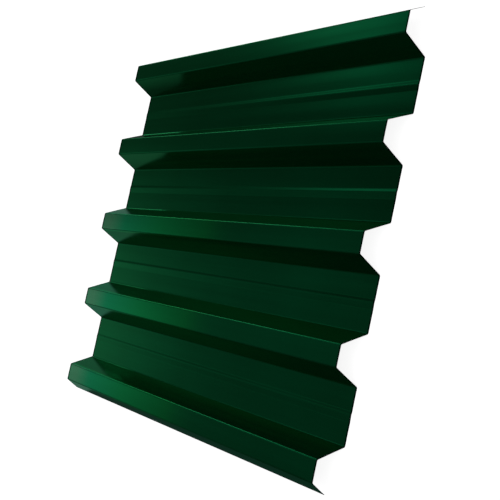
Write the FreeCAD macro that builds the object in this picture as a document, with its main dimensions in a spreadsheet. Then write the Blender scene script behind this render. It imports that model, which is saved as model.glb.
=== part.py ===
import FreeCAD, Part
import os
import Sketcher

# Box profile roofing sheet: one piece of roll formed coated steel, lying flat with its crests up.
# Millimetres. X runs along the waves, Y across them and Z up. The origin is at the middle of the
# sheet, level with the underside of its pans.

SHEET_NODE = "roofing_sheet"

# Each size that can be set by itself: its name, its value and what it measures.
SIZES = (
    ("sheet_length", 960, "cut length, along the waves"),
    ("sheet_thickness", 0.7, "coated steel"),
    ("wave_count", 4, "pans in the sheet, each with a crest on both sides"),
    ("wave_pitch", 187.5, "crest middle to crest middle, so that four waves cover 750"),
    ("profile_depth", 52.5, "painted face of a pan up to the painted face of a crest"),
    ("crest_width", 38.5, "crest, from the corner line of one bend to that of the other"),
    ("web_run", 25.5, "how far a sloping web goes sideways, corner line to corner line"),
    ("bend_radius", 3, "inside radius of the bends of crest and pan"),
    ("edge_run", 16.5, "how far the short web along each long edge goes sideways"),
    ("edge_drop", 30, "how far that short web goes down"),
    ("rib_width", 18, "foot of the shallow rib along the middle of each pan"),
    ("rib_top_width", 9, "top of that rib, corner line to corner line"),
    ("rib_height", 2.2, "rise of that rib above its pan"),
    ("rib_foot_radius", 3, "inside radius where that rib rises from its pan"),
    ("rib_top_radius", 12, "inside radius of the rounding of its top"),
)

# Heights of the painted face above the underside of the pans.
PAN_FACE = "sizes.sheet_thickness"
RIB_FACE = f"{PAN_FACE} + sizes.rib_height"
CREST_FACE = f"{PAN_FACE} + sizes.profile_depth"
EDGE_TIP = f"{CREST_FACE} - sizes.edge_drop"

# Painted radius of a bend: the inside radius where the face is hollow, and one thickness more
# where it stands proud.
PAN_BEND = "sizes.bend_radius"
CREST_BEND = "sizes.bend_radius + sizes.sheet_thickness"
RIB_FOOT_BEND = "sizes.rib_foot_radius"
RIB_TOP_BEND = "sizes.rib_top_radius + sizes.sheet_thickness"

# Half a wave, from the middle of a pan to the middle of the next crest. Each corner line of the
# painted face has its distance from the pan's middle, its height and the radius that rounds it.
HALF_WAVE = (
    ("0", RIB_FACE, None),
    ("sizes.rib_top_width / 2", RIB_FACE, RIB_TOP_BEND),
    ("sizes.rib_width / 2", PAN_FACE, RIB_FOOT_BEND),
    ("sizes.wave_pitch / 2 - sizes.crest_width / 2 - sizes.web_run", PAN_FACE, PAN_BEND),
    ("sizes.wave_pitch / 2 - sizes.crest_width / 2", CREST_FACE, CREST_BEND),
    ("sizes.wave_pitch / 2", CREST_FACE, None),
)

# The sheet's long edge, from the middle of the outermost crest to the tip of its short web, which
# slopes a little less than the full webs.
LONG_EDGE = (
    ("0", CREST_FACE, None),
    ("sizes.crest_width / 2", CREST_FACE, CREST_BEND),
    ("sizes.crest_width / 2 + sizes.edge_run", EDGE_TIP, None),
)

# Where the zero of each section lies across the sheet: the last pan's middle, and the middle of the
# crest beyond it.
LAST_PAN_MIDDLE = "(sizes.wave_count - 1) * sizes.wave_pitch / 2"
LAST_CREST_MIDDLE = "sizes.wave_count * sizes.wave_pitch / 2"


def add_size_sheet(document):
    """A spreadsheet with a row for each size, whose value cell is named after the size."""
    sheet = document.addObject("Spreadsheet::Sheet", "sizes")
    for row, (name, value, meaning) in enumerate(SIZES, start=1):
        sheet.set(f"A{row}", name)
        sheet.set(f"B{row}", str(value))
        sheet.set(f"C{row}", meaning)
        sheet.setAlias(f"B{row}", name)
    document.recompute()


def origin_plane(body, role):
    """One of the three planes through the body's origin."""
    return next(plane for plane in body.Origin.OriginFeatures if plane.Role == role)


def bind_dimension(sketch, name, kind, geometry, formula):
    """A named dimension of the sketch that follows a formula of the sizes."""
    value = float(sketch.evalExpression(formula))
    index = sketch.addConstraint(Sketcher.Constraint(kind, *geometry, value))
    sketch.renameConstraint(index, name)
    sketch.setExpression(f"Constraints.{name}", formula)


def sketch_section(body, name, corners, zero_across):
    """The painted face seen end on: straight runs through the corners, then the bends."""
    sketch = body.newObject("Sketcher::SketchObject", name)
    sketch.AttachmentSupport = [(origin_plane(body, "YZ_Plane"), "")]
    sketch.MapMode = "FlatFace"
    sketch.setExpression("AttachmentOffset.Base.x", zero_across)
    places = [
        FreeCAD.Vector(float(sketch.evalExpression(across)), float(sketch.evalExpression(up)), 0)
        for across, up, _ in corners
    ]
    runs = [
        sketch.addGeometry(Part.LineSegment(start, end), False)
        for start, end in zip(places, places[1:])
    ]
    for run, next_run in zip(runs, runs[1:]):
        sketch.addConstraint(Sketcher.Constraint("Coincident", run, 2, next_run, 1))
    origin, vertical_axis = -1, -2
    sketch.addConstraint(Sketcher.Constraint("PointOnObject", runs[0], 1, vertical_axis))
    sketch.addConstraint(Sketcher.Constraint("Horizontal", runs[0]))
    for number, (run, (across, up, _)) in enumerate(zip(runs, corners[1:]), start=1):
        corner = (origin, 1, run, 2)
        bind_dimension(sketch, f"across_{number}", "DistanceX", corner, across)
        bind_dimension(sketch, f"height_{number}", "DistanceY", corner, up)
    for number, (run, (_, _, radius)) in enumerate(zip(runs, corners[1:-1]), start=1):
        arc = sketch.GeometryCount
        sketch.fillet(run, 2, float(sketch.evalExpression(radius)), True, True)
        bind_dimension(sketch, f"radius_{number}", "Radius", (arc,), radius)
    return sketch


def pad_section(body, name, sketch):
    """The section line made one sheet thick below the painted face, and as long as the sheet."""
    strip = body.newObject("PartDesign::SubShapeBinder", f"{name}_strip")
    strip.Support = [(sketch, ("",))]
    strip.setExpression("Offset", "sizes.sheet_thickness")
    strip.OffsetFill = True
    strip.OffsetOpenResult = True
    body.Document.recompute()
    pad = body.newObject("PartDesign::Pad", name)
    pad.Profile = strip
    pad.SideType = "Symmetric"
    pad.setExpression("Length", "sizes.sheet_length")
    body.Document.recompute()
    return pad


def repeat_waves(body, half_wave, sketch):
    """The half wave mirrored into a whole one, and that repeated across the sheet."""
    document = body.Document
    mirror = document.addObject("PartDesign::Mirrored", "whole_wave")
    mirror.MirrorPlane = (sketch, ["V_Axis"])
    pattern = document.addObject("PartDesign::LinearPattern", "wave_pattern")
    pattern.Direction = (sketch, ["H_Axis"])
    pattern.Reversed = True
    pattern.Mode = "Spacing"
    pattern.setExpression("Offset", "sizes.wave_pitch")
    pattern.setExpression("Occurrences", "sizes.wave_count")
    waves = body.newObject("PartDesign::MultiTransform", "waves")
    waves.Originals = [half_wave]
    waves.Transformations = [mirror, pattern]
    body.Tip = waves
    document.recompute()


def mirror_edge(body, edge):
    """The same short web along the other long edge."""
    other_edge = body.newObject("PartDesign::Mirrored", "other_long_edge")
    other_edge.Originals = [edge]
    other_edge.MirrorPlane = (origin_plane(body, "XZ_Plane"), [""])
    body.Tip = other_edge
    body.Document.recompute()


def make_roofing_sheet(document):
    """The whole sheet: the waves, and the short web along each of its long edges."""
    body = document.addObject("PartDesign::Body", SHEET_NODE)
    body.Label = SHEET_NODE
    wave_sketch = sketch_section(body, "half_wave_section", HALF_WAVE, LAST_PAN_MIDDLE)
    half_wave = pad_section(body, "half_wave", wave_sketch)
    repeat_waves(body, half_wave, wave_sketch)
    edge_sketch = sketch_section(body, "long_edge_section", LONG_EDGE, LAST_CREST_MIDDLE)
    edge = pad_section(body, "long_edge", edge_sketch)
    mirror_edge(body, edge)
    return body


def check_and_export(document, bodies):
    """Stops at any failed object or bad shape, and writes one file for each body."""
    document.recompute()
    for item in document.Objects:
        if "Invalid" in item.State or "Error" in item.State:
            raise RuntimeError(f"{item.Label} failed: {item.State}")
    for body in bodies:
        if body.Shape.isNull() or not body.Shape.isValid() or len(body.Shape.Solids) != 1:
            raise RuntimeError(f"{body.Label} isn't one valid solid")
    os.makedirs("parts", exist_ok=True)
    for body in bodies:
        body.Shape.exportStep(f"parts/{body.Label}.step")
        box = body.Shape.BoundBox
        print(
            f"{body.Label}: {box.XLength:.2f} x {box.YLength:.2f} x {box.ZLength:.2f} mm,"
            f" {body.Shape.Volume / 1000:.1f} cm3, {len(body.Shape.Faces)} faces"
        )


document = FreeCAD.newDocument("box_profile_roofing_sheet")
add_size_sheet(document)
check_and_export(document, [make_roofing_sheet(document)])
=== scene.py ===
# %% [markdown]
# # A box profile roofing sheet
# The object is one sheet of coated steel, roll formed into narrow crests and wide pans and cut to
# length. It lies flat, pans on the floor, and the camera looks down on it from beyond one cut end.
# The first thing is to load the packed model. It gives the true place and size of everything, so
# nothing made here is placed by eye.

# %% Load the packed sheet
import math

import bmesh
import bpy
from mathutils import Matrix, Vector, noise


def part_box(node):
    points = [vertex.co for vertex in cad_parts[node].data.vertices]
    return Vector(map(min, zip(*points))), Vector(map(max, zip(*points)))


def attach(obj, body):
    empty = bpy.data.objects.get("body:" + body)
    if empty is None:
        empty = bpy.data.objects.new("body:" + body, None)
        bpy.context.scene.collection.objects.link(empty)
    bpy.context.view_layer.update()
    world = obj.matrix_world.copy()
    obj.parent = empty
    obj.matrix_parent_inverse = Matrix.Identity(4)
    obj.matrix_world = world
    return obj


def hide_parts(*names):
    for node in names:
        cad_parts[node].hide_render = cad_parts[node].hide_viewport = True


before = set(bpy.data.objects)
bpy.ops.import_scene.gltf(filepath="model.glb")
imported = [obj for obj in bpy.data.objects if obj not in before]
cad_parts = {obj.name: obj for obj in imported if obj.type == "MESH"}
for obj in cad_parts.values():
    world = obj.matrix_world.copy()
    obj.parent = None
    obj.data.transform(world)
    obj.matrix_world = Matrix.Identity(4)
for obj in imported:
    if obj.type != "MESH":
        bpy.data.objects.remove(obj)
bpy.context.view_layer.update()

sheet_low, sheet_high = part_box("roofing_sheet")
print("packed sheet, metres:", tuple(round(side, 4) for side in sheet_high - sheet_low))

# %% [markdown]
# ## Camera
# The folds of a roofing sheet are parallel lines, so the point where they meet in a picture gives
# the camera's direction and its lens, and the wave pitch gives its distance. The photographer held
# the camera on its side, so it is rolled about its own line of sight. A camera is easiest to place
# with three facts: where it stands, what it looks at, and its roll.

# %% Make the camera
CAMERA_STANDS_AT = Vector((1.6439, -0.1594, 1.0623))
CAMERA_LOOKS_AT = Vector((0.1302, -0.0292, 0.0260))
CAMERA_ROLL = math.radians(-75.05)
SENSOR_WIDTH = 36.0
LENS_LENGTH = 68.32
NEAREST_SEEN = 0.05


def make_camera():
    lens = bpy.data.cameras.new("camera")
    lens.lens = LENS_LENGTH
    lens.sensor_width = SENSOR_WIDTH
    lens.clip_start = NEAREST_SEEN
    camera = bpy.data.objects.new("camera", lens)
    bpy.context.scene.collection.objects.link(camera)
    level_view = (CAMERA_LOOKS_AT - CAMERA_STANDS_AT).to_track_quat("-Z", "Y").to_matrix()
    camera.matrix_world = (
        Matrix.Translation(CAMERA_STANDS_AT)
        @ level_view.to_4x4()
        @ Matrix.Rotation(CAMERA_ROLL, 4, "Z")
    )
    bpy.context.scene.camera = camera


make_camera()
print("camera distance, metres:", round((CAMERA_LOOKS_AT - CAMERA_STANDS_AT).length, 3))

# %% [markdown]
# ## The section line
# Seen end on, the sheet is one line: web, crest, web, pan, and in the middle of each pan a shallow
# rib that keeps it from drumming. A roll former bends it at small radii. The line could be traced
# point by point, but it is better worked out from a few sizes: list the sharp corner lines, then
# round each with its bend. Each point also keeps its normal, and a point moved back along its
# normal by the steel's thickness lies exactly on the other face, inside bends and outside bends
# alike.
#
# The rib is the one place where this line leaves the packed sheet, by under two millimetres. A
# glossy rib shows its slopes and not its height: here it has a narrow bright side and a wide dark
# one. So its top is low and soft, and lies a little to one side.

# %% Sizes of the profile
STEEL = 0.0007
WAVE_PITCH = 0.1875
CREST_WIDTH = 0.0385
WEB_RUN = 0.0255
BEND_RADIUS = 0.003
EDGE_RUN = 0.0165
EDGE_DROP = 0.030
RIB_WIDTH = 0.018
RIB_TOP_WIDTH = 0.002
RIB_TOP_OFFSET = 0.003
RIB_HEIGHT = 0.0006
RIB_FOOT_RADIUS = 0.020
RIB_TOP_RADIUS = 0.016

crest_level = sheet_high.z
pan_level = sheet_low.z + STEEL
wave_count = round((sheet_high.y - sheet_low.y - CREST_WIDTH) / WAVE_PITCH)
web_angle = math.degrees(math.atan2(crest_level - pan_level, WEB_RUN))
print("waves:", wave_count, "web angle:", round(web_angle, 1))

# %% List the sharp corners of the painted face


def pan_corners(middle):
    """The corners from one crest's edge down across the pan, over its rib, and up again."""
    down = [
        (WAVE_PITCH / 2 - CREST_WIDTH / 2, crest_level, BEND_RADIUS),
        (WAVE_PITCH / 2 - CREST_WIDTH / 2 - WEB_RUN, pan_level, BEND_RADIUS),
        (RIB_WIDTH / 2, pan_level, RIB_FOOT_RADIUS),
    ]
    rib_top = [
        (middle + RIB_TOP_OFFSET + side * RIB_TOP_WIDTH / 2, pan_level + RIB_HEIGHT, RIB_TOP_RADIUS)
        for side in (-1, 1)
    ]
    before = [(middle - across, up, radius) for across, up, radius in down]
    after = [(middle + across, up, radius) for across, up, radius in reversed(down)]
    return before + rib_top + after


def edge_corners(side):
    """The outermost crest's outer edge, and the tip of the short web along that long edge."""
    corner = wave_count * WAVE_PITCH / 2 + CREST_WIDTH / 2
    tip = corner + EDGE_RUN
    return [(side * tip, crest_level - EDGE_DROP, 0), (side * corner, crest_level, BEND_RADIUS)]


def all_corners():
    corners = edge_corners(-1)
    for wave in range(wave_count):
        corners += pan_corners((wave - (wave_count - 1) / 2) * WAVE_PITCH)
    return corners + edge_corners(1)[::-1]


corner_lines = all_corners()
print("corner lines across the sheet:", len(corner_lines))

# %% Round the corners
ARC_STEPS = 8
FLAT_STEP = 0.007


class SectionPoint:
    """A point of the painted face seen end on, with the normal there. On a flat it knows its share
    of the way across, and on a bend how far into the bend it lies, each from 0 to 1."""

    def __init__(self, place, normal, flat_share=0.0, bend=0.0):
        self.place = place
        self.normal = normal
        self.flat_share = flat_share
        self.bend = bend


def across_normal(direction):
    """The painted side of a run that goes from -Y to +Y."""
    return Vector((-direction.y, direction.x))


def bend_points(before, corner, after, inside_radius):
    """Points along one bend, from where the first flat ends to where the next one starts."""
    into = (corner - before).normalized()
    out = (after - corner).normalized()
    turn = math.atan2(into.x * out.y - into.y * out.x, into.dot(out))
    hollow = turn > 0
    radius = inside_radius if hollow else inside_radius + STEEL
    setback = radius * math.tan(abs(turn) / 2)
    start_normal = across_normal(into)
    centre = corner - into * setback + start_normal * (radius if hollow else -radius)
    points = []
    for step in range(ARC_STEPS + 1):
        angle = turn * step / ARC_STEPS
        normal = Matrix.Rotation(angle, 2) @ start_normal
        place = centre - normal * (radius if hollow else -radius)
        points.append(SectionPoint(place, normal, bend=math.sin(math.pi * step / ARC_STEPS)))
    return points


def flat_points(start, end):
    """Points between two bends, at even steps, each with its share of the way across."""
    run = end.place - start.place
    steps = max(1, round(run.length / FLAT_STEP))
    return [
        SectionPoint(start.place + run * step / steps, start.normal, flat_share=step / steps)
        for step in range(1, steps)
    ]


def section_line():
    places = [Vector(corner[:2]) for corner in corner_lines]
    first = SectionPoint(places[0], across_normal((places[1] - places[0]).normalized()))
    last = SectionPoint(places[-1], across_normal((places[-1] - places[-2]).normalized()))
    line = [first]
    for number in range(1, len(places) - 1):
        radius = corner_lines[number][2]
        bend = bend_points(places[number - 1], places[number], places[number + 1], radius)
        line += flat_points(line[-1], bend[0]) + bend
    return line + flat_points(line[-1], last) + [last]


profile = section_line()
print("points across the section:", len(profile))

# %% [markdown]
# ## Waviness and painted highlights on the crests
# Thin steel is never quite flat: between the bends it has a slow waviness, well under a millimetre,
# that shows only in its reflections. Each flat moves out a little by smooth noise that dies away at
# the bends, because a bend holds the steel straight.
#
# The crests on one side are painted paler towards the far end, which is a painted highlight in the
# colour. A pattern in the paint alone wouldn't know which fold it is on, so how much painted
# highlight a point gets is worked out here, with the shape, and kept in the mesh for the paint to
# read.

# %% Say how far the steel is out of flat, and how much painted highlight each point gets
WAVINESS = 0.00025
WAVE_SPACING = Vector((0.30, 0.09))
# The next five sizes place a painted highlight: paler paint on some crests towards the far end.
HIGHLIGHT_REACH = 0.62
HIGHLIGHT_STARTS_BELOW_CREST = 0.006
HIGHLIGHT_FULL_BELOW_CREST = 0.001
HIGHLIGHT_STARTS_AT_Y = 0.14
HIGHLIGHT_FULL_AT_Y = 0.05


def smooth_step(value, start, end):
    """From 0 at the start to 1 at the end, level at both."""
    share = min(1.0, max(0.0, (value - start) / (end - start)))
    return share * share * (3 - 2 * share)


def painted_highlight(along, point):
    """How much painted highlight the paint has there, from 0 to 1: only on some crests, towards the far end.
    """
    share_from_far_end = (along - sheet_low.x) / (sheet_high.x - sheet_low.x)
    on_crest = smooth_step(
        point.place.y, crest_level - HIGHLIGHT_STARTS_BELOW_CREST, crest_level - HIGHLIGHT_FULL_BELOW_CREST
    )
    on_highlit_side = smooth_step(point.place.x, HIGHLIGHT_STARTS_AT_Y, HIGHLIGHT_FULL_AT_Y)
    return max(0.0, 1 - share_from_far_end / HIGHLIGHT_REACH) * on_crest * on_highlit_side


def out_of_flat(along, point):
    """How far the steel stands off its true plane there, in metres."""
    if not point.flat_share:
        return 0.0
    held_at_bends = math.sin(math.pi * point.flat_share) ** 2
    spot = Vector((along / WAVE_SPACING.x, point.place.x / WAVE_SPACING.y, point.place.y))
    return WAVINESS * held_at_bends * (0.5 + 0.5 * noise.noise(spot))


highlit_points = sum(painted_highlight(sheet_low.x, point) > 0 for point in profile)
print("points of the far end on faded crests:", highlit_points)

# %% [markdown]
# ## The sheet
# A curve with a bevel could carry the section along the sheet, but it gives one skin, with no say
# in the thickness or in each point. So the mesh is built row by row: the section is repeated in
# short steps along the sheet, once for the painted face and once for the backing, and strips of
# faces join the rows. Rims along the edges close it, so it can be weighed or cut like the real one.

# %% Sweep the section along the sheet
ALONG_STEPS = 96
BEND_LAYER = "bend"
HIGHLIGHT_LAYER = "highlit"

PAINTED, BACKING, CUT_EDGE = range(3)


def add_rows(mesh):
    """The points of both faces: one row across the sheet for each step along it."""
    bend_layer = mesh.verts.layers.float.new(BEND_LAYER)
    highlight_layer = mesh.verts.layers.float.new(HIGHLIGHT_LAYER)
    painted = []
    backing = []
    for step in range(ALONG_STEPS + 1):
        along = sheet_low.x + (sheet_high.x - sheet_low.x) * step / ALONG_STEPS
        painted.append([])
        backing.append([])
        for point in profile:
            face = point.place + point.normal * out_of_flat(along, point)
            under = face - point.normal * STEEL
            upper = mesh.verts.new((along, face.x, face.y))
            lower = mesh.verts.new((along, under.x, under.y))
            upper[bend_layer] = lower[bend_layer] = point.bend
            # The painted highlight's share is kept on the painted face only.
            upper[highlight_layer] = painted_highlight(along, point)
            painted[-1].append(upper)
            backing[-1].append(lower)
    return painted, backing


def join_rows(mesh, row, next_row, side, flip):
    """A strip of faces between two rows of points, on one side of the sheet."""
    for corners in zip(row, next_row, next_row[1:], row[1:]):
        face = mesh.faces.new(corners[::-1] if flip else corners)
        face.material_index = side
        face.smooth = side != CUT_EDGE


def sweep_sheet():
    mesh = bmesh.new()
    painted, backing = add_rows(mesh)
    for rows, side, flip in ((painted, PAINTED, False), (backing, BACKING, True)):
        for row, next_row in zip(rows, rows[1:]):
            join_rows(mesh, row, next_row, side, flip)
    for edge, flip in ((0, False), (-1, True)):
        upper = [row[edge] for row in painted]
        lower = [row[edge] for row in backing]
        join_rows(mesh, upper, lower, CUT_EDGE, flip)
    for end, flip in ((0, True), (-1, False)):
        join_rows(mesh, painted[end], backing[end], CUT_EDGE, flip)
    return mesh


def sheet_object():
    mesh = sweep_sheet()
    data = bpy.data.meshes.new("coated_sheet")
    mesh.to_mesh(data)
    mesh.free()
    sheet = bpy.data.objects.new("coated_sheet", data)
    bpy.context.scene.collection.objects.link(sheet)
    weighting = sheet.modifiers.new("flats_stay_flat", "WEIGHTED_NORMAL")
    weighting.keep_sharp = True
    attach(sheet, "root")
    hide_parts("roofing_sheet")
    return sheet


sheet = sheet_object()
print("faces of the sheet:", len(sheet.data.polygons))

# %% [markdown]
# ## Shader nodes in short
# Nodes could be drawn by hand in Blender's editor, but in code each node takes several lines to
# make and link, and the idea gets lost. A few helpers fix that: give a socket a number or another
# node's output, calculate with values, and stretch a value to a new range. The finishes, the floor
# and the light all use them.

# %% Helpers for any node tree


class Nodes:
    """Short ways to make and link the nodes of one material or one world."""

    def __init__(self, tree):
        self.nodes = tree.nodes
        self.links = tree.links

    def feed(self, socket, value):
        """Gives a socket its value: another node's output, or a plain number or colour."""
        if isinstance(value, bpy.types.NodeSocket):
            self.links.new(value, socket)
        else:
            socket.default_value = value

    def node(self, kind, **values):
        """A new node, with some of its inputs given by name."""
        made = self.nodes.new(kind)
        for name, value in values.items():
            self.feed(made.inputs[name], value)
        return made

    def calculate(self, operation, *values):
        """The sum, product and so on of some values."""
        made = self.node("ShaderNodeMath")
        made.operation = operation
        for socket, value in zip(made.inputs, values):
            self.feed(socket, value)
        return made.outputs["Value"]

    def between(self, value, low, high, start=0.3, end=0.7):
        """The value, from its usual range, stretched to run from low to high."""
        made = self.node("ShaderNodeMapRange", Value=value)
        names = ("From Min", "From Max", "To Min", "To Max")
        for name, number in zip(names, (start, end, low, high)):
            self.feed(made.inputs[name], number)
        return made.outputs["Result"]

    def place_on_object(self):
        """Where on its object a point lies, in metres."""
        return self.node("ShaderNodeTexCoord").outputs["Object"]

    def coordinate(self, place, axis):
        """One coordinate of a place."""
        return self.node("ShaderNodeSeparateXYZ", Vector=place).outputs[axis]

    def seen_directly(self):
        """1 where the camera itself looks, and 0 for reflections and bounces of light."""
        return self.node("ShaderNodeLightPath").outputs["Is Camera Ray"]


print("helpers:", ", ".join(name for name in vars(Nodes) if not name.startswith("_")))

# %% [markdown]
# ## Finishes
# The steel is painted on one side and has a thin grey backing coat on the other, and a cut shows
# the bare steel and zinc between them. So the sheet is one mesh with three materials, chosen face by
# face. None of them uses a picture: each is worked out from the place on the sheet in metres, so it
# has the right scale and no seam. The helpers below make slow patches, streaks along the rolling
# direction and a fine grain, the kinds of pattern that coated coil has, and bands beside the cuts
# for painted shade.

# %% Helpers for procedural finishes
STREAK_STRETCH = (0.9, 60.0, 60.0)
EDGE_BLUR = 0.4


class Finish(Nodes):
    """A material being built, with its shader and the place on the object as its starting point."""

    def __init__(self, name):
        self.material = bpy.data.materials.new(name)
        self.material.use_nodes = True
        super().__init__(self.material.node_tree)
        self.shader = self.nodes["Principled BSDF"]
        self.place = self.place_on_object()

    def noise(self, scale, detail=2.0, stretch=(1, 1, 1)):
        """Smooth noise from 0 to 1, whose features are about 1 / scale metres across."""
        mapping = self.node("ShaderNodeMapping", Vector=self.place, Scale=stretch)
        place = mapping.outputs["Vector"]
        return self.node("ShaderNodeTexNoise", Vector=place, Scale=scale, Detail=detail).outputs["Fac"]

    def streaks(self, scale=1.0):
        """Long noise that runs with the rolling direction, X."""
        return self.noise(scale, 4.0, STREAK_STRETCH)

    def attribute(self, name):
        """A value kept in the mesh, from 0 to 1."""
        made = self.node("ShaderNodeAttribute")
        made.attribute_name = name
        return made.outputs["Fac"]

    def near_edge(self, axis, edge, width):
        """1 at an edge of the sheet and 0 from the width inwards, which is negative at a low edge."""
        along = self.coordinate(self.place, axis)
        return self.between(along, 0, 1, edge - width, edge - width + EDGE_BLUR * width)

    def colours(self, value, stops):
        """A colour that follows the value through a list of (position, colour)."""
        ramp = self.node("ShaderNodeValToRGB", Fac=value)
        while len(ramp.color_ramp.elements) < len(stops):
            ramp.color_ramp.elements.new(0.5)
        for element, (position, colour) in zip(ramp.color_ramp.elements, stops):
            element.position = position
            element.color = (*colour, 1)
        return ramp.outputs["Color"]

    def mix(self, share, first, second):
        """The first colour where the share is 0, and the second where it is 1."""
        return self.node("ShaderNodeMixRGB", Fac=share, Color1=first, Color2=second).outputs["Color"]

    def bump(self, height, distance):
        """Small relief on the surface: the height's full range stands for the distance in metres."""
        relief = self.node("ShaderNodeBump", Height=height, Distance=distance)
        self.drive("Normal", relief.outputs["Normal"])

    def drive(self, name, value):
        """Gives one of the shader's own sockets its value."""
        self.feed(self.shader.inputs[name], value)


def add_finish(finish):
    """Adds the finish to the sheet. The order is that of the sides: painted, backing, cut edge."""
    sheet.data.materials.append(finish.material)
    print("finish:", finish.material.name, "with", len(finish.nodes), "nodes")


print("streaks are about", round(STREAK_STRETCH[1] / STREAK_STRETCH[0]), "times as long as wide")

# %% [markdown]
# ## The green coating
# Baked polyester paint is smooth and glossy, with a slight orange peel. On this sheet even the
# reflections are green, with almost no red in them, and a plain plastic shader can't do that: its
# gloss is always white. A part of metal in the shader tints the gloss with the base colour, and the
# rest keeps the paint's own body. The rollers leave faint streaks along the sheet. Along each bend
# the paint is a little lighter and less glossy: partly stretched paint, and partly a painted
# highlight along the folds. Some crests are painted paler towards the far end, and then greyer,
# through a few stops of colour, which is a painted highlight. A thin dark line of painted shade runs
# along the cuts and the long edges and draws the sheet's outline.

# %% Make the green coating
PAINT_METAL = 0.72
PAINT_GLOSS = 0.1
GLOSS_TINT = (0.10, 1.00, 0.60, 1)
DEEP_GREEN = (0.0035, 0.123, 0.041)
FRESH_GREEN = (0.0050, 0.160, 0.055)
# Lighter along the bends: partly stretched paint, partly a painted highlight along the folds.
STRETCHED_AND_HIGHLIGHT_GREEN = (0.010, 0.245, 0.083, 1)
STRETCHED_AND_HIGHLIGHT_SHARE = 0.5
# Painted highlight: the stops by which those crests are painted paler and then greyer.
HIGHLIGHT_GREENS = [
    (0.0, (0.0045, 0.140, 0.047)),
    (0.19, (0.0058, 0.225, 0.053)),
    (0.52, (0.0067, 0.317, 0.090)),
    (0.79, (0.025, 0.350, 0.150)),
    (0.93, (0.167, 0.375, 0.217)),
]
# Painted shade: a thin dark line along each cut and each long edge, which draws the outline.
EDGE_SHADE_GREEN = (0.001, 0.012, 0.006, 1)
EDGE_SHADE_BANDS = [
    ("X", sheet_high.x, 0.0035),
    ("X", sheet_low.x, -0.007),
    ("Y", sheet_high.y, 0.0025),
    ("Y", sheet_low.y, -0.0025),
]
DULLED_BY = 0.05
ORANGE_PEEL = 0.000012


def paint_colour(paint, bend, highlit):
    tone = paint.calculate("ADD", paint.between(paint.noise(5.0), 0, 0.6),
                           paint.between(paint.streaks(), 0, 0.4))
    green = paint.colours(tone, [(0.0, DEEP_GREEN), (1.0, FRESH_GREEN)])
    # Partly stretched paint and partly a painted highlight: lighter along the bends.
    green = paint.mix(paint.calculate("MULTIPLY", bend, STRETCHED_AND_HIGHLIGHT_SHARE), green, STRETCHED_AND_HIGHLIGHT_GREEN)
    # Painted highlight: paler and greyer crests towards the far end.
    highlight_share = paint.between(highlit, 0, 1, 0.0, 0.2)
    green = paint.mix(highlight_share, green, paint.colours(highlit, HIGHLIGHT_GREENS))
    # Painted shade in thin bands along the cuts and the long edges.
    edge_shade = 0
    for shade_band in EDGE_SHADE_BANDS:
        edge_shade = paint.calculate("MAXIMUM", paint.near_edge(*shade_band), edge_shade)
    return paint.mix(edge_shade, green, EDGE_SHADE_GREEN)


def green_coating():
    paint = Finish("moss_green_coating")
    bend = paint.attribute(BEND_LAYER)
    highlit = paint.attribute(HIGHLIGHT_LAYER)
    paint.drive("Base Color", paint_colour(paint, bend, highlit))
    polish = paint.between(paint.streaks(1.7), 0.125, 0.165)
    dulled = paint.calculate("MAXIMUM", bend, highlit)
    dulled = paint.calculate("MULTIPLY", dulled, DULLED_BY)
    paint.drive("Roughness", paint.calculate("ADD", polish, dulled))
    paint.drive("Metallic", PAINT_METAL)
    paint.drive("Specular IOR Level", PAINT_GLOSS)
    paint.drive("Specular Tint", GLOSS_TINT)
    paint.bump(paint.noise(420.0, 3.0), ORANGE_PEEL)
    return paint


add_finish(green_coating())

# %% [markdown]
# ## The backing coat
# The underside has a thin grey primer, dull and slightly mottled, with the same rolling streaks. It
# could be the same paint in grey, but a backing coat has no gloss and no orange peel to speak of,
# and that is what tells the two sides of such a sheet apart.

# %% Make the backing coat
BACKING_GREYS = [(0.0, (0.30, 0.31, 0.30)), (1.0, (0.44, 0.45, 0.44))]
BACKING_GRAIN = 0.00001


def backing_coat():
    backing = Finish("pale_grey_backing")
    mottle = backing.calculate("ADD", backing.between(backing.noise(30.0, 4.0), 0, 0.5),
                               backing.between(backing.streaks(), 0, 0.5))
    backing.drive("Base Color", backing.colours(mottle, BACKING_GREYS))
    backing.drive("Roughness", backing.between(backing.noise(90.0), 0.48, 0.60))
    backing.bump(backing.noise(600.0, 3.0), BACKING_GRAIN)
    return backing


add_finish(backing_coat())

# %% [markdown]
# ## The cut
# The cut ends are bare: dark sheared steel with brighter zinc. At arm's length they are only a
# thin dark line, but they need a finish of their own, because a line of green there would make the
# sheet look moulded and not cut.

# %% Make the cut edge
EDGE_METALS = [(0.0, (0.020, 0.022, 0.022)), (1.0, (0.09, 0.095, 0.095))]
EDGE_METAL_SHARE = 0.85
SHEAR_MARKS = 0.00003


def cut_edge():
    edge = Finish("cut_steel_edge")
    shear = edge.noise(900.0, 3.0)
    edge.drive("Base Color", edge.colours(edge.between(shear, 0, 1), EDGE_METALS))
    edge.drive("Roughness", edge.between(edge.noise(300.0), 0.40, 0.60))
    edge.drive("Metallic", EDGE_METAL_SHARE)
    edge.bump(shear, SHEAR_MARKS)
    return edge


add_finish(cut_edge())

# %% [markdown]
# ## Floor
# A pale studio floor is simple to make, but a white floor beside a dark glossy sheet fills its
# sloping webs with white reflections. Photographers lay dark cards just out of view to stop that.
# Here the floor does it itself: it is white where the camera looks at it, and dim where a
# reflection or a bounce of light meets it. Just past the far end it stays a little brighter, and
# the ends of the webs mirror that as pale green wedges.

# %% Make the floor
FLOOR_HALF_SIZE = 12.0
FLOOR_COLOUR = (0.85, 0.85, 0.85, 1)
FLOOR_GLOW = 0.88
FLOOR_IN_REFLECTIONS = 0.045
BRIGHTER_PATCH = 0.22
PATCH_BLUR = 0.02
PATCH_ENDS_AT_Y = 0.25
PATCH_FULL_AT_Y = 0.05


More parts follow.
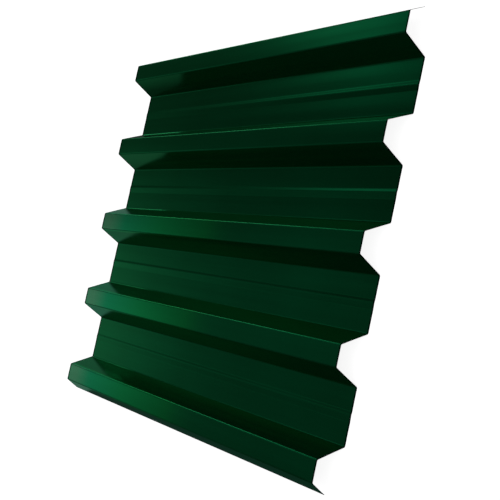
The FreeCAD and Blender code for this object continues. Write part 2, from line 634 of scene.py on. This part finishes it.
def floor_material():
    material = bpy.data.materials.new("pale_floor")
    material.use_nodes = True
    floor = Nodes(material.node_tree)
    floor.nodes.clear()
    place = floor.place_on_object()
    past_far_end = floor.between(floor.coordinate(place, "X"), 0, 1, sheet_low.x, sheet_low.x - PATCH_BLUR)
    across = floor.between(floor.coordinate(place, "Y"), 0, 1, PATCH_ENDS_AT_Y, PATCH_FULL_AT_Y)
    patch = floor.calculate("MULTIPLY", past_far_end, across)
    strength = floor.between(patch, FLOOR_IN_REFLECTIONS, BRIGHTER_PATCH, 0, 1)
    dim = floor.node("ShaderNodeEmission", Strength=strength)
    matt = floor.node("ShaderNodeBsdfDiffuse", Color=FLOOR_COLOUR)
    glow = floor.node("ShaderNodeEmission", Strength=FLOOR_GLOW)
    white = floor.node("ShaderNodeAddShader")
    choose = floor.node("ShaderNodeMixShader", Fac=floor.seen_directly())
    output = floor.node("ShaderNodeOutputMaterial", Surface=choose.outputs["Shader"])
    floor.feed(white.inputs[0], matt.outputs["BSDF"])
    floor.feed(white.inputs[1], glow.outputs["Emission"])
    floor.feed(choose.inputs[1], dim.outputs["Emission"])
    floor.feed(choose.inputs[2], white.outputs["Shader"])
    return material


def make_floor():
    mesh = bmesh.new()
    bmesh.ops.create_grid(mesh, x_segments=1, y_segments=1, size=FLOOR_HALF_SIZE)
    data = bpy.data.meshes.new("floor")
    mesh.to_mesh(data)
    mesh.free()
    floor = bpy.data.objects.new("floor", data)
    bpy.context.scene.collection.objects.link(floor)
    data.materials.append(floor_material())
    return floor


floor = make_floor()
print("floor, metres across:", 2 * FLOOR_HALF_SIZE)

# %% [markdown]
# ## Light
# A glossy sheet shows its surroundings more than its lamps. Area lights and cards could stand round
# it, but each would have to be placed at a distance too. Painting the light into the surroundings
# needs only directions: each soft light is given by where it is and how wide it is, round a nearly
# dark room.
#
# Every fold mirrors another part of the room, so each light has its own job. The wall low beyond
# the far end brightens that end of the crests and pans. The window and the lamps to its right put
# the sheen on the first crest and into the webs. The wide lights round the rest of the room hardly
# show from here, and light the sheet for a camera on the other sides.

# %% Make the surroundings
ROOM_GLOW = 0.008
BACKGROUND = 1.0
WHITE = (1, 1, 1, 1)
SOFT_LIGHTS = {
    "low wall beyond the far end": (183, 21.5, 7, 0.66),
    "ceiling beyond the far end": (176, 40, 5, 0.14),
    "ceiling left of the far end": (190, 40, 6, 0.12),
    "window right of the far end": (156, 35, 3.3, 0.72),
    "wall right of the far end": (150, 20, 9, 0.18),
    "soft edge of that window": (163, 31, 8, 0.05),
    "low lamp right of the far end": (146, 3, 6, 2.2),
    "low lamp on the right": (94, 0, 6, 1.0),
    "high window on the right": (142, 54, 6, 0.4),
    "ceiling on the right": (102, 67, 8, 0.4),
    "lamp left of the far end": (205, 19, 6, 0.18),
    "wide light right of the far end": (128, 31, 9, 0.35),
    "wide light on the right": (90, 32, 10, 0.35),
    "wide light on the left": (270, 35, 10, 0.3),
    "softbox behind the camera, right": (45, 20, 20, 0.36),
    "softbox behind the camera, left": (315, 22, 20, 0.36),
    "wide light left of the far end": (234, 34, 10, 0.25),
    "overhead": (0, 88, 10, 0.4),
}


def towards(azimuth, elevation):
    """The direction of a light as seen from the sheet, azimuth from +X towards +Y, in degrees."""
    turn, rise = math.radians(azimuth), math.radians(elevation)
    return Vector((math.cos(rise) * math.cos(turn), math.cos(rise) * math.sin(turn), math.sin(rise)))


def soft_light(room, looking, azimuth, elevation, half_width, strength):
    """Brightest along its direction, and half as bright at its half width, in degrees."""
    sharpness = math.log(2) / (1 - math.cos(math.radians(half_width)))
    facing = room.node("ShaderNodeVectorMath")
    facing.operation = "DOT_PRODUCT"
    room.feed(facing.inputs[0], looking)
    room.feed(facing.inputs[1], towards(azimuth, elevation))
    fall = room.calculate("MULTIPLY_ADD", facing.outputs["Value"], sharpness, math.log(strength) - sharpness)
    return room.calculate("EXPONENT", fall)


def make_surroundings():
    world = bpy.data.worlds.new("studio")
    world.use_nodes = True
    room = Nodes(world.node_tree)
    looking = room.node("ShaderNodeTexCoord").outputs["Generated"]
    glow = ROOM_GLOW
    for light in SOFT_LIGHTS.values():
        glow = room.calculate("ADD", soft_light(room, looking, *light), glow)
    background = room.nodes["Background"]
    room.feed(background.inputs["Strength"], room.between(room.seen_directly(), glow, BACKGROUND, 0, 1))
    room.feed(background.inputs["Color"], WHITE)
    bpy.context.scene.world = world


make_surroundings()
print("soft lights:", ", ".join(SOFT_LIGHTS))

# %% [markdown]
# ## A lamp for the floor alone
# The surroundings are too dark to lay a shadow, and a lamp bright enough for one would change every
# reflection. Light linking solves that: a wide sun from above lights the floor alone, and the sheet
# still keeps it off the floor beneath, which gives the faint shadow that grounds it. The Standard
# view keeps the white floor white and the dark greens as deep as they are mixed.

# %% Light the floor
FLOOR_LAMP_STRENGTH = 0.60
FLOOR_LAMP_SPREAD = math.radians(70)
FLOOR_LAMP_FROM = (-10, 55)


def make_floor_lamp():
    lamp = bpy.data.lights.new("floor_lamp", "SUN")
    lamp.energy = FLOOR_LAMP_STRENGTH
    lamp.angle = FLOOR_LAMP_SPREAD
    light = bpy.data.objects.new("floor_lamp", lamp)
    light.matrix_world = towards(*FLOOR_LAMP_FROM).to_track_quat("Z", "Y").to_matrix().to_4x4()
    bpy.context.scene.collection.objects.link(light)
    floor_only = bpy.data.collections.new("lit_by_floor_lamp")
    floor_only.objects.link(floor)
    light.light_linking.receiver_collection = floor_only


make_floor_lamp()
bpy.context.scene.view_settings.view_transform = "Standard"
print("floor lamp: azimuth and elevation", FLOOR_LAMP_FROM)

# %% [markdown]
